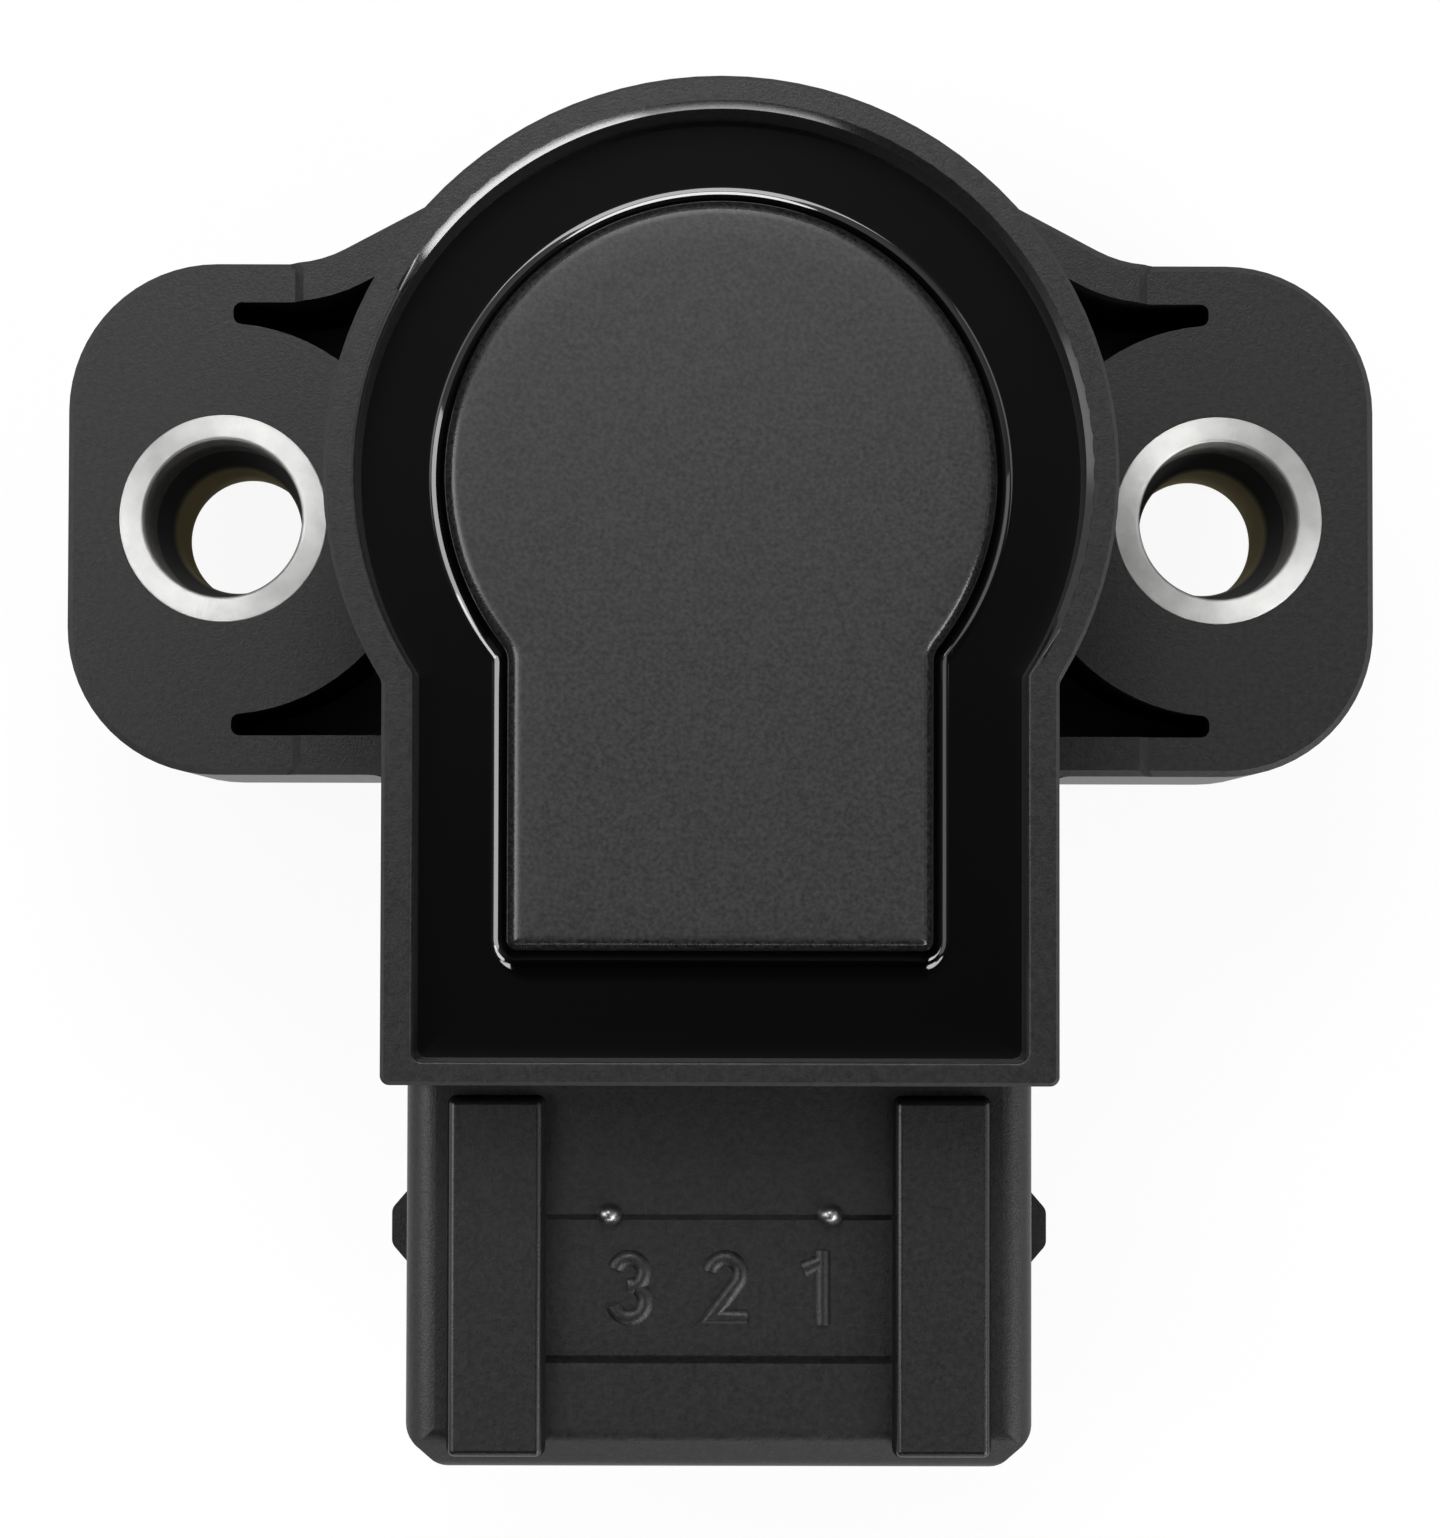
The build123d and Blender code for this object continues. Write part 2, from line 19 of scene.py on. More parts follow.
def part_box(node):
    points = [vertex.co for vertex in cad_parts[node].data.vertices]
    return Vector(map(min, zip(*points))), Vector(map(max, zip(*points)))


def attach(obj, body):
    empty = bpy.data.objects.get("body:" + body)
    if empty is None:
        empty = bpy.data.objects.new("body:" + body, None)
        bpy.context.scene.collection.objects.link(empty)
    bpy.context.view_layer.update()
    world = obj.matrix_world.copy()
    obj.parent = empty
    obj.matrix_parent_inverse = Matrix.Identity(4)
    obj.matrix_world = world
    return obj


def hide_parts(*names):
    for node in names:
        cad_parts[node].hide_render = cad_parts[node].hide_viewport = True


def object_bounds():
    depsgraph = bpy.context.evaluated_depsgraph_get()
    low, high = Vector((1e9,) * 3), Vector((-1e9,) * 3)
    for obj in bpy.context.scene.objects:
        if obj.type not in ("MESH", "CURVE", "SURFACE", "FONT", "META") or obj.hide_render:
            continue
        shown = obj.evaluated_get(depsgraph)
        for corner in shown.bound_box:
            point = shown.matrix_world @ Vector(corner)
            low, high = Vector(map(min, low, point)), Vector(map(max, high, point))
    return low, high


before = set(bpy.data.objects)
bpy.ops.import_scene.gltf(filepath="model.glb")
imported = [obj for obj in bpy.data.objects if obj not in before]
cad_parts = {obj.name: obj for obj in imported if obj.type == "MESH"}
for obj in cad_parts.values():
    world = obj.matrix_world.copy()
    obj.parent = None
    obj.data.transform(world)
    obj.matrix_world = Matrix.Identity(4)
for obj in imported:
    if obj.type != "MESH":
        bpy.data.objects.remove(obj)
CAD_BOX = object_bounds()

LOG = logging.getLogger("sensor")
MM = 0.001
HOUSING = "housing"
MERGE_MM = 1e-4
SHARP_DEGREES = 35
Colour = tuple[float, float, float]
Point = tuple[float, float, float]


class Slot(Enum):
    """The record's material slots named for the new pieces; the script keeps them with each piece and
    doesn't apply them.
    """

    HOUSING = "housing_plastic"
    COVER = "cover_plastic"
    POTTING = "potting"
    SLEEVE = "sleeve_steel"


def combine(
    tree: bpy.types.NodeTree, operation: str, *parts: bpy.types.NodeSocket | float
) -> bpy.types.NodeSocket:
    """Adds a math node.

    Args:
        tree: The node tree to add to.
        operation: Blender's name of the operation.
        parts: The sockets or numbers that it combines.

    Returns:
        The result's socket.
    """
    node = tree.nodes.new("ShaderNodeMath")
    node.operation = operation
    for place, part in zip(node.inputs, parts):
        if isinstance(part, bpy.types.NodeSocket):
            tree.links.new(part, place)
        else:
            place.default_value = part
    return node.outputs["Value"]


class NodeSheet:
    """A material's node tree with short ways to add and join nodes.

    Between the two values of the lean span, the normal's upward part turns a leaning surface into a
    flat one. At the tint stops a pattern reaches its two colours.
    """

    LEAN_SPAN: ClassVar[tuple[float, float]] = (0.88, 0.995)
    TINT_STOPS: ClassVar[tuple[float, float]] = (0.3, 0.7)

    def __init__(self, name: str) -> None:
        """Makes an empty material with an output and a main shader.

        Args:
            name: The material's name.
        """
        self.material = bpy.data.materials.new(name)
        self.material.use_nodes = True
        self.tree = self.material.node_tree
        self.tree.nodes.clear()
        self.shader = self.add("ShaderNodeBsdfPrincipled")
        output = self.add("ShaderNodeOutputMaterial")
        self.join(self.shader, "BSDF", output, "Surface")

    def add(self, kind: str, **sockets: Any) -> bpy.types.Node:
        """Adds a node.

        Args:
            kind: Blender's name of the node type.
            sockets: Values of input sockets, with spaces in their names written as underscores.

        Returns:
            The new node.
        """
        node = self.tree.nodes.new(kind)
        for name, value in sockets.items():
            node.inputs[name.replace("_", " ")].default_value = value
        return node

    def join(self, source: bpy.types.Node, out: str, target: bpy.types.Node, into: str) -> None:
        """Links one node's output to another's input, both by name."""
        self.tree.links.new(source.outputs[out], target.inputs[into])

    def set(self, **sockets: Any) -> None:
        """Sets constants on the main shader's own sockets."""
        for name, value in sockets.items():
            self.shader.inputs[name.replace("_", " ")].default_value = value

    def noise(self, feature_mm: float, detail: float, centre_mm: Point = (0, 0, 0)) -> bpy.types.Node:
        """Adds a noise pattern on Object coordinates.

        Args:
            feature_mm: The size of the pattern's main lumps.
            detail: How many finer octaves it has.
            centre_mm: The point that the pattern starts from.

        Returns:
            The noise node.
        """
        pattern = self.add("ShaderNodeTexNoise", Scale=1 / (feature_mm * MM), Detail=detail)
        self.join(self.place(centre_mm), "Vector", pattern, "Vector")
        return pattern

    def place(self, centre_mm: Point) -> bpy.types.Node:
        """Adds Object coordinates that are zero at a given point.

        Args:
            centre_mm: The point.

        Returns:
            The node that gives them as its Vector.
        """
        coordinates = self.add("ShaderNodeTexCoord")
        mapping = self.add("ShaderNodeMapping", Location=[-x * MM for x in centre_mm])
        self.join(coordinates, "Object", mapping, "Vector")
        return mapping

    def spread(self, pattern: bpy.types.Node, low: float, high: float, edge_share: float = 1.0) -> None:
        """Lets a pattern move the roughness between two values, and smooths the rounded edges.

        Args:
            pattern: The pattern that drives it.
            low: The roughness at the pattern's lower end.
            high: The roughness at its upper end.
            edge_share: What is left of the roughness where the surface leans over.
        """
        span = self.add("ShaderNodeMapRange", To_Min=low, To_Max=high)
        self.join(pattern, "Fac", span, "Value")
        geometry, axes = self.add("ShaderNodeNewGeometry"), self.add("ShaderNodeSeparateXYZ")
        self.join(geometry, "Normal", axes, "Vector")
        leaning, flat = self.LEAN_SPAN
        lean = self.add("ShaderNodeMapRange", From_Min=leaning, From_Max=flat, To_Min=edge_share)
        self.join(axes, "Z", lean, "Value")
        both = combine(self.tree, "MULTIPLY", span.outputs["Result"], lean.outputs["Result"])
        self.tree.links.new(both, self.shader.inputs["Roughness"])

    def tint(self, pattern: bpy.types.Node, colour: Colour, shares: tuple[float, float]) -> None:
        """Lets a pattern move the base colour between a darker and a lighter one.

        Args:
            pattern: The pattern that drives it.
            colour: The colour between them.
            shares: The factors that make it darker and lighter.
        """
        ramp = self.add("ShaderNodeValToRGB")
        for stop, place, share in zip(ramp.color_ramp.elements, self.TINT_STOPS, shares):
            stop.position = place
            stop.color = (*scaled(colour, share), 1)
        self.join(pattern, "Fac", ramp, "Fac")
        self.join(ramp, "Color", self.shader, "Base Color")

    def relief(self, pattern: bpy.types.Node, depth_mm: float) -> None:
        """Lets a pattern raise the surface's shading.

        Args:
            pattern: The pattern that drives it.
            depth_mm: The height from the pattern's lower to its upper end.
        """
        bump = self.add("ShaderNodeBump", Strength=1.0, Distance=depth_mm * MM)
        self.join(pattern, "Fac", bump, "Height")
        self.join(bump, "Normal", self.shader, "Normal")


def scaled(colour: Colour, factor: float) -> Colour:
    """A colour made darker or lighter by a factor."""
    return tuple(min(1.0, part * factor) for part in colour)


@dataclass(frozen=True)
class MouldedPlastic:
    """A moulded plastic or rubber with an eroded grain and faint mottling."""

    name: str
    colour: Colour
    roughness: float
    grain_mm: float = 0.08
    grain_depth_mm: float = 0.01
    mottle_mm: float = 0.14
    mottling: float = 0.45
    sheen_change: float = 0.08
    edge_share: float = 1.0
    ior: float = 1.45

    def material(self) -> bpy.types.Material:
        """Makes the finish: grain drives the relief and the roughness, mottling the colour.

        Returns:
            The material.
        """
        sheet = NodeSheet(self.name)
        sheet.set(IOR=self.ior)
        mottle = sheet.noise(self.mottle_mm, 4)
        grain = sheet.noise(self.grain_mm, 3)
        sheet.tint(mottle, self.colour, (1 - self.mottling, 1 + self.mottling))
        low, high = self.roughness - self.sheen_change, self.roughness + self.sheen_change
        sheet.spread(grain, low, high, self.edge_share)
        sheet.relief(grain, self.grain_depth_mm)
        return sheet.material


@dataclass(frozen=True)
class CastResin:
    """A poured compound that sets smooth and glossy, with a slow ripple."""

    name: str
    colour: Colour
    roughness: float
    ior: float = 1.7
    ripple_mm: float = 5.0
    ripple_depth_mm: float = 0.012
    sheen_share: float = 0.3

    def material(self) -> bpy.types.Material:
        """Makes the finish: a slow noise bends the reflections a little.

        Returns:
            The material.
        """
        sheet = NodeSheet(self.name)
        sheet.set(Base_Color=(*self.colour, 1), IOR=self.ior)
        ripple = sheet.noise(self.ripple_mm, 1)
        low, high = 1 - self.sheen_share, 1 + self.sheen_share
        sheet.spread(ripple, self.roughness * low, self.roughness * high)
        sheet.relief(ripple, self.ripple_depth_mm)
        return sheet.material


@dataclass(frozen=True)
class TurnedSteel:
    """Plated steel turned on a lathe, with fine rings about its own axis."""

    name: str
    colour: Colour
    roughness: float
    axis_x: float
    ring_pitch_mm: float = 0.11
    ring_depth_mm: float = 0.004
    ring_waviness: float = 1.5
    stain_mm: float = 0.9
    stain_shares: tuple[float, float] = (0.86, 1.05)
    sheen_span: tuple[float, float] = (-0.05, 0.08)

    def material(self) -> bpy.types.Material:
        """Makes the finish: rings about Z give the relief, a soft noise the stains.

        Returns:
            The material.
        """
        sheet = NodeSheet(self.name)
        sheet.set(Metallic=1.0)
        centre = (self.axis_x, 0, 0)
        stain = sheet.noise(self.stain_mm, 4, centre)
        sheet.tint(stain, self.colour, self.stain_shares)
        sheet.spread(stain, *(self.roughness + change for change in self.sheen_span))
        pitch = self.ring_pitch_mm * MM
        rings = sheet.add("ShaderNodeTexWave", Scale=1 / pitch, Distortion=self.ring_waviness)
        rings.wave_type = "RINGS"
        rings.rings_direction = "Z"
        sheet.join(sheet.place(centre), "Vector", rings, "Vector")
        sheet.relief(rings, self.ring_depth_mm)
        return sheet.material


@dataclass(frozen=True)
class DullBore:
    """The unplated inside of a bore: painted shade makes its cone dark, and it is brownish below it."""

    name: str
    cone: Colour
    below: Colour
    edge_z: float
    blend_mm: float = 0.3

    def material(self) -> bpy.types.Material:
        """Makes the finish: the height moves the colour from brownish below to the cone's painted shade,
        and nothing shines.

        Returns:
            The material.
        """
        sheet = NodeSheet(self.name)
        sheet.set(Roughness=1.0, Specular_IOR_Level=0.0)
        axes = sheet.add("ShaderNodeSeparateXYZ")
        sheet.join(sheet.place((0, 0, 0)), "Vector", axes, "Vector")
        low, high = (self.edge_z - self.blend_mm) * MM, (self.edge_z + self.blend_mm) * MM
        span = sheet.add("ShaderNodeMapRange", From_Min=low, From_Max=high)
        sheet.join(axes, "Z", span, "Value")
        # Above edge_z the ramp gives the cone's near-black painted shade; below it the bore is brownish.
        ramp = sheet.add("ShaderNodeValToRGB")
        for stop, colour in zip(ramp.color_ramp.elements, (self.below, self.cone)):
            stop.color = (*colour, 1)
        sheet.join(span, "Result", ramp, "Fac")
        sheet.join(ramp, "Color", sheet.shader, "Base Color")
        return sheet.material


@dataclass(frozen=True)
class DullSurface:
    """A surface that doesn't shine, such as a rough bored wall, with a fine mottling."""

    name: str
    colour: Colour
    mottle_mm: float = 0.3
    mottling: float = 0.2

    def material(self) -> bpy.types.Material:
        """Makes the finish: a fine noise moves the colour a little.

        Returns:
            The material.
        """
        sheet = NodeSheet(self.name)
        sheet.set(Roughness=1.0, Specular_IOR_Level=0.0)
        mottle = sheet.noise(self.mottle_mm, 3)
        sheet.tint(mottle, self.colour, (1 - self.mottling, 1 + self.mottling))
        return sheet.material


@dataclass(frozen=True)
class SheetMetal:
    """Stamped, rolled or cast metal with a soft uneven sheen."""

    name: str
    colour: Colour
    roughness: float
    stain_mm: float = 0.7
    stain_shares: tuple[float, float] = (0.85, 1.08)
    sheen_span: tuple[float, float] = (-0.06, 0.1)
    scratch_mm: float = 0.12
    scratch_depth_mm: float = 0.002

    def material(self) -> bpy.types.Material:
        """Makes the finish: a soft noise stains it and a fine one marks it.

        Returns:
            The material.
        """
        sheet = NodeSheet(self.name)
        sheet.set(Metallic=1.0)
        stain = sheet.noise(self.stain_mm, 3)
        sheet.tint(stain, self.colour, self.stain_shares)
        sheet.spread(stain, *(self.roughness + change for change in self.sheen_span))
        sheet.relief(sheet.noise(self.scratch_mm, 2), self.scratch_depth_mm)
        return sheet.material


@dataclass
class Keyhole:
    """A plan outline: a round head about the pot's centre with a straight tail."""

    SMALLEST_ROUND: ClassVar[float] = 0.05
    HEAD_POINTS: ClassVar[int] = 90
    ROUND_POINTS: ClassVar[int] = 10
    SIDE_POINTS: ClassVar[int] = 30
    END_POINTS: ClassVar[int] = 16

    radius: float
    half_width: float
    end_y: float
    neck: float = 0.4
    corner: float = 0.3
    centre_y: float = 0.77

    def inset(self, distance: float, end_share: float = 1.0) -> "Keyhole":
        """The outline drawn in by a distance, with its corners kept parallel.

        Args:
            distance: How far it is drawn in.
            end_share: How many times that far the tail's end and its corners are drawn in.

        Returns:
            The new outline.
        """
        return Keyhole(
            self.radius - distance,
            self.half_width - distance,
            self.end_y + distance * end_share,
            max(self.SMALLEST_ROUND, self.neck + distance),
            max(self.SMALLEST_ROUND, self.corner - distance * end_share),
            self.centre_y,
        )

    def right_half(self) -> np.ndarray:
        """Points of the right half, from the head's top to the middle of the tail's end.

        The neck is an arc that touches the head from outside and the tail's side, so its centre is
        one neck radius outside both. The tail's corner is a quarter circle.

        Returns:
            An array of X and Y.
        """
        neck_x = self.half_width + self.neck
        neck_y = self.centre_y - math.sqrt((self.radius + self.neck) ** 2 - neck_x**2)
        touch = math.atan2(neck_y - self.centre_y, neck_x)
        head = arc((0, self.centre_y), self.radius, math.pi / 2, touch, self.HEAD_POINTS)
        neck = arc((neck_x, neck_y), self.neck, touch + math.pi, math.pi, self.ROUND_POINTS)
        turn_x, turn_y = self.half_width - self.corner, self.end_y + self.corner
        side = np.linspace((self.half_width, neck_y), (self.half_width, turn_y), self.SIDE_POINTS)
        corner = arc((turn_x, turn_y), self.corner, 0, -math.pi / 2, self.ROUND_POINTS)
        end = np.linspace((turn_x, self.end_y), (0, self.end_y), self.END_POINTS)
        return np.vstack([head, neck[1:], side[1:], corner[1:], end[1:]])

    def loop(self) -> np.ndarray:
        """The whole closed outline, clockwise from the head's top, with no point repeated."""
        right = self.right_half()
        left = right[1:-1][::-1] * (-1, 1)
        return np.vstack([right, left])

    def ring(self, z: float) -> np.ndarray:
        """The outline at a height, as points in space."""
        plan = self.loop()
        return np.column_stack([plan, np.full(len(plan), z)])

    def spine(self, z: float) -> np.ndarray:
        """The outline folded onto its own middle line, which closes a flat top.

        Args:
            z: The top's height.

        Returns:
            One point on the middle line for each point of the outline.
        """
        plan = self.loop()
        reach = 0.5 * self.half_width
        y = np.clip(plan[:, 1], self.end_y + reach, self.centre_y)
        return np.column_stack([np.zeros(len(plan)), y, np.full(len(plan), z)])


def arc(centre: tuple[float, float], radius: float, start: float, end: float, count: int) -> np.ndarray:
    """Points on an arc, from one angle to another, both included."""
    angle = np.linspace(start, end, count)
    return np.column_stack([centre[0] + radius * np.cos(angle), centre[1] + radius * np.sin(angle)])


def grid_faces(rows: int, columns: int, closed_rows: bool, closed_columns: bool) -> np.ndarray:
    """Quads between neighbouring points of a grid.

    Args:
        rows: How many points the first parameter has.
        columns: How many points the second parameter has.
        closed_rows: Whether the last row joins the first.
        closed_columns: Whether the last column joins the first.

    Returns:
        An array of four point numbers for each quad.
    """
    row, column = np.meshgrid(
        np.arange(rows if closed_rows else rows - 1),
        np.arange(columns if closed_columns else columns - 1),
        indexing="ij",
    )
    next_row, next_column = (row + 1) % rows, (column + 1) % columns
    corners = [
        row * columns + column,
        row * columns + next_column,
        next_row * columns + next_column,
        next_row * columns + column,
    ]
    return np.stack([c.ravel() for c in corners], axis=1)


def softened(
    profile: list[tuple[float, float]], radius: float, count: int = 5, share: float = 0.45
) -> np.ndarray:
    """A closed profile with each corner rounded.

    Each corner V becomes the curve (1-t)^2 A + 2t(1-t) V + t^2 B, where A and B lie on its two sides
    at the given distance, or at a share of a short side.

    Args:
        profile: The corners in order.
        radius: How far from the corner the rounding starts.
        count: The number of points on each corner.
        share: The most that a rounding takes of a side.

    Returns:
        The rounded profile's points.
    """
    corner = np.array(profile, float)
    before, after = np.roll(corner, 1, axis=0) - corner, np.roll(corner, -1, axis=0) - corner
    starts = []
    for side in (before, after):
        length = np.linalg.norm(side, axis=1, keepdims=True)
        starts.append(corner + side / length * np.minimum(radius, share * length))
    t = np.linspace(0, 1, count)[None, :, None]
    first, middle, last = starts[0][:, None], corner[:, None], starts[1][:, None]
    curve = (1 - t) ** 2 * first + 2 * t * (1 - t) * middle + t**2 * last
    return curve.reshape(-1, 2)


def lathe(profile: np.ndarray, axis: tuple[float, float], count: int = 144) -> np.ndarray:
    """A closed profile of radius and height carried round an upright axis.

    Args:
        profile: Points of radius and Z.
        axis: The axis in X and Y.
        count: The number of steps round.

    Returns:
        A grid of points: one row for each profile point.
    """
    angle = np.linspace(0, 2 * math.pi, count, endpoint=False)
    radius, z = profile[:, 0][:, None], profile[:, 1][:, None]
    x = axis[0] + radius * np.cos(angle)
    y = axis[1] + radius * np.sin(angle)
    return np.stack([x, y, np.broadcast_to(z, x.shape)], axis=2)


def capped(bar: np.ndarray) -> np.ndarray:
    """A row of sections with both ends closed on their middle points."""
    ends = [np.broadcast_to(bar[i].mean(axis=0), bar[i].shape)[None] for i in (0, -1)]
    return np.concatenate([ends[0], bar, ends[1]])


@dataclass
class Shell:
    """A piece that rides on the housing, made from one or more grids of points."""

    name: str
    slot: Slot
    replaces: tuple[str, ...] = ()

    def build(
        self,
        grids: list[tuple[np.ndarray, bool, bool]],
        finishes: list[bpy.types.Material],
        choice: np.ndarray | None = None,
    ) -> None:
        """Turns grids into one mesh in place and lets it ride on the housing.

        Args:
            grids: Points in millimetres, and whether the rows and the columns close.
            finishes: The piece's finishes.
            choice: Which finish each face takes, in the grids' order; the first one where it is None.
        """
        points, faces, base = [], [], 0
        for grid, closed_rows, closed_columns in grids:
            rows, columns = grid.shape[:2]
            points.append(grid.reshape(-1, 3))
            faces.append(grid_faces(rows, columns, closed_rows, closed_columns) + base)
            base += rows * columns
        mesh = bpy.data.meshes.new(self.name)
        mesh.from_pydata((np.vstack(points) * MM).tolist(), [], np.vstack(faces).tolist())
        if choice is not None:
            mesh.polygons.foreach_set("material_index", choice.astype(np.int32))
        self.close(mesh)
        for finish in finishes:
            mesh.materials.append(finish)
        piece = bpy.data.objects.new(self.name, mesh)
        bpy.context.scene.collection.objects.link(piece)
        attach(piece, HOUSING)
        if self.replaces:
            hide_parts(*self.replaces)
        LOG.info("%s: %d faces on %s", self.name, len(mesh.polygons), HOUSING)

    @staticmethod
    def close(mesh: bpy.types.Mesh) -> None:
        """Merges poles and seams, turns the faces outwards and smooths all but sharp edges.

        Args:
            mesh: The mesh to finish.
        """
        work = bmesh.new()
        work.from_mesh(mesh)
        bmesh.ops.remove_doubles(work, verts=work.verts, dist=MERGE_MM * MM)
        bmesh.ops.dissolve_degenerate(work, edges=work.edges, dist=MERGE_MM * MM)
        bmesh.ops.recalc_face_normals(work, faces=work.faces)
        work.to_mesh(mesh)
        work.free()
        mesh.set_sharp_from_angle(angle=math.radians(SHARP_DEGREES))
        mesh.shade_smooth()


@dataclass
class PottedTop:
    """The lid and the resin round it, in the pot of the housing."""

    cover: Keyhole
    pot: Keyhole
    seat: float = 12.6
    foot_top: float = 13.6
    pool: float = 14.7
    foot_gap: float = 0.2
    wall: float = 1.2
    edge_round: float = 0.52
    edge_steps: int = 8
    top_inset: float = 1.5
    boss_outer: float = 2.85
    boss_inner: float = 1.55
    boss_low: float = 11.1
    boss_floor: float = 13.9
    boss_around: int = 64
    fillet: float = 0.35
    slope: float = 0.315
    slope_foot: float = 0.5
    slope_softness: float = 0.03
    end_spread: float = 1.7
    rim_rise: float = 0.03
    rim_reach: float = 0.35
    pool_reach: float = 1.1
    pool_steps: int = 48
    pool_crowding: float = 1.3
    rim_width: float = 0.24
    rim_drop: float = 0.213
    rim_crown: float = 0.0033
    rim_sink: float = 0.03
    rim_power: float = 7.0
    rim_steps: int = 13
    bead_tilt: float = -0.555
    bead_span: tuple[float, float] = (-1.0, 2.3)

    @property
    def top(self) -> float:
        """The height of the lid's flat top, from the frame."""
        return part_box("cover")[1].z / MM

    def cover_grid(self) -> np.ndarray:
        """The lid's shell, as outlines carried through a profile.

        From the middle of the top it runs over the rounded edge, down the wall, out along the foot,
        round under it, and up the hollow to the middle of the roof.

        Returns:
            A grid of points, one row for each outline.
        """
        roof = self.top - self.wall
        turn = np.linspace(0, math.pi / 2, self.edge_steps)
        inset, drop = self.edge_round * (1 - np.sin(turn)), self.edge_round * (1 - np.cos(turn))
        edge = [self.cover.inset(i).ring(self.top - d) for i, d in zip(inset, drop)]
        foot = self.pot.inset(self.foot_gap)
        hollow = self.cover.inset(self.wall)
        rows = [self.cover.spine(self.top), self.cover.inset(self.top_inset).ring(self.top), *edge]
        rows += [self.cover.ring(self.foot_top), foot.ring(self.foot_top), foot.ring(self.seat)]
        rows += [hollow.ring(self.seat), hollow.ring(roof), self.cover.spine(roof)]
        return np.stack(rows)

    def boss_grid(self) -> np.ndarray:
        """The pivot's boss under the roof, turned from a square section.

        Returns:
            A grid of points, one row for each profile point.
        """
        roof = self.top - self.wall
        profile = [
            (0.0, roof),
            (self.boss_outer, roof),
            (self.boss_outer, self.boss_low),
            (self.boss_inner, self.boss_low),
            (self.boss_inner, self.boss_floor),
            (0.0, self.boss_floor),
        ]
        return lathe(np.array(profile), (0, 0), self.boss_around)

    def pool_grid(self) -> np.ndarray:
        """The resin, as outlines carried round a closed profile.

        Its surface falls from the rim as rise * exp(-distance / reach), the curve of a liquid that
        wets the wall. At the lid it climbs a straight slope with a soft start, which is
        slope * softness * log(1 + exp((foot - distance) / softness)), and then a quarter circle. It
        spreads further from the tail's end. Below, it lies on the lid's foot and fills the gap
        beside the foot.

        Returns:
            A grid of points whose first and last rows meet.
        """
        distance = self.pool_reach * np.linspace(0, 1, self.pool_steps) ** self.pool_crowding
        by_rim = self.pool + self.rim_rise * np.exp(-distance / self.rim_reach)
        across = np.clip(1 - distance / self.fillet, 0, 1)
        climb = np.logaddexp(0, (self.slope_foot - distance) / self.slope_softness)
        by_cover = self.pool + self.slope * self.slope_softness * climb
        by_cover += self.fillet * (1 - np.sqrt(1 - across**2))
        rows = [self.pot.inset(d).ring(z) for d, z in zip(distance, by_rim)]
        lid_side = zip(distance[::-1], by_cover[::-1])
        rows += [self.cover.inset(-d, self.end_spread).ring(z) for d, z in lid_side]
        foot = self.pot.inset(self.foot_gap)
        rows += [self.cover.ring(self.foot_top), foot.ring(self.foot_top)]
        rows += [foot.ring(self.seat), self.pot.ring(self.seat)]
        return np.stack(rows)

    def bead_share(self) -> np.ndarray:
        """How far the edge is a bead: a smooth step 3s^2 - 2s^3 across a tilted line.

        Returns:
            A share from 0 to 1 for each point of the pot's outline.
        """
        plan = self.pot.loop()
        low, high = self.bead_span
        step = np.clip((plan[:, 1] - self.bead_tilt * plan[:, 0] - low) / (high - low), 0, 1)
        return step**2 * (3 - 2 * step)

    def rim_grid(self) -> np.ndarray:
        """The inner edge of the rim: a flat bead round most of the head, a tight edge elsewhere.

        With t from the inner wall to the rim's top, the edge lies drop * (1-t)^power below the top.
        The bead has power 1 and a crown of 4 * crown * t * (1-t). The back lies just under the
        chamfer of the CAD rim.

        Returns:
            A grid of points whose first and last rows meet.
        """
        rim_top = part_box("housing")[1].z / MM
        bead = self.bead_share()
        t = np.linspace(0, 1, self.rim_steps)[:, None]
        power = self.rim_power + (1 - self.rim_power) * bead
        height = rim_top - self.rim_drop * (1 - t) ** power + 4 * self.rim_crown * bead * t * (1 - t)
        rows = [self.pot.inset(-self.rim_width * s).ring(0) for s in t[:, 0]]
        back = self.rim_sink + self.rim_width / 2
        edge = np.stack(rows)
        edge[:, :, 2] = np.minimum(height, rim_top)
        return np.concatenate([edge, self.pot.inset(-back).ring(rim_top - back)[None]])

    def build(
        self, lid: bpy.types.Material, resin: bpy.types.Material, rim: list[bpy.types.Material]
    ) -> None:
        """Makes the three pieces.

        Args:
            lid: The lid's finish.
            resin: The resin's finish.
            rim: The finishes of the bead and of the rest of the rim's inner edge.
        """
        shell = Shell("cover_shell", Slot.COVER, ("cover",))
        shell.build([(self.cover_grid(), False, True), (self.boss_grid(), False, True)], [lid])
        pool = Shell("potting_pool", Slot.POTTING, ("potting_seal",))
        pool.build([(self.pool_grid(), True, True)], [resin])
        grid = self.rim_grid()
        choice = np.tile(self.bead_share() < 0.5, len(grid))
        Shell("rim_edge", Slot.HOUSING).build([(grid, True, True)], rim, choice)


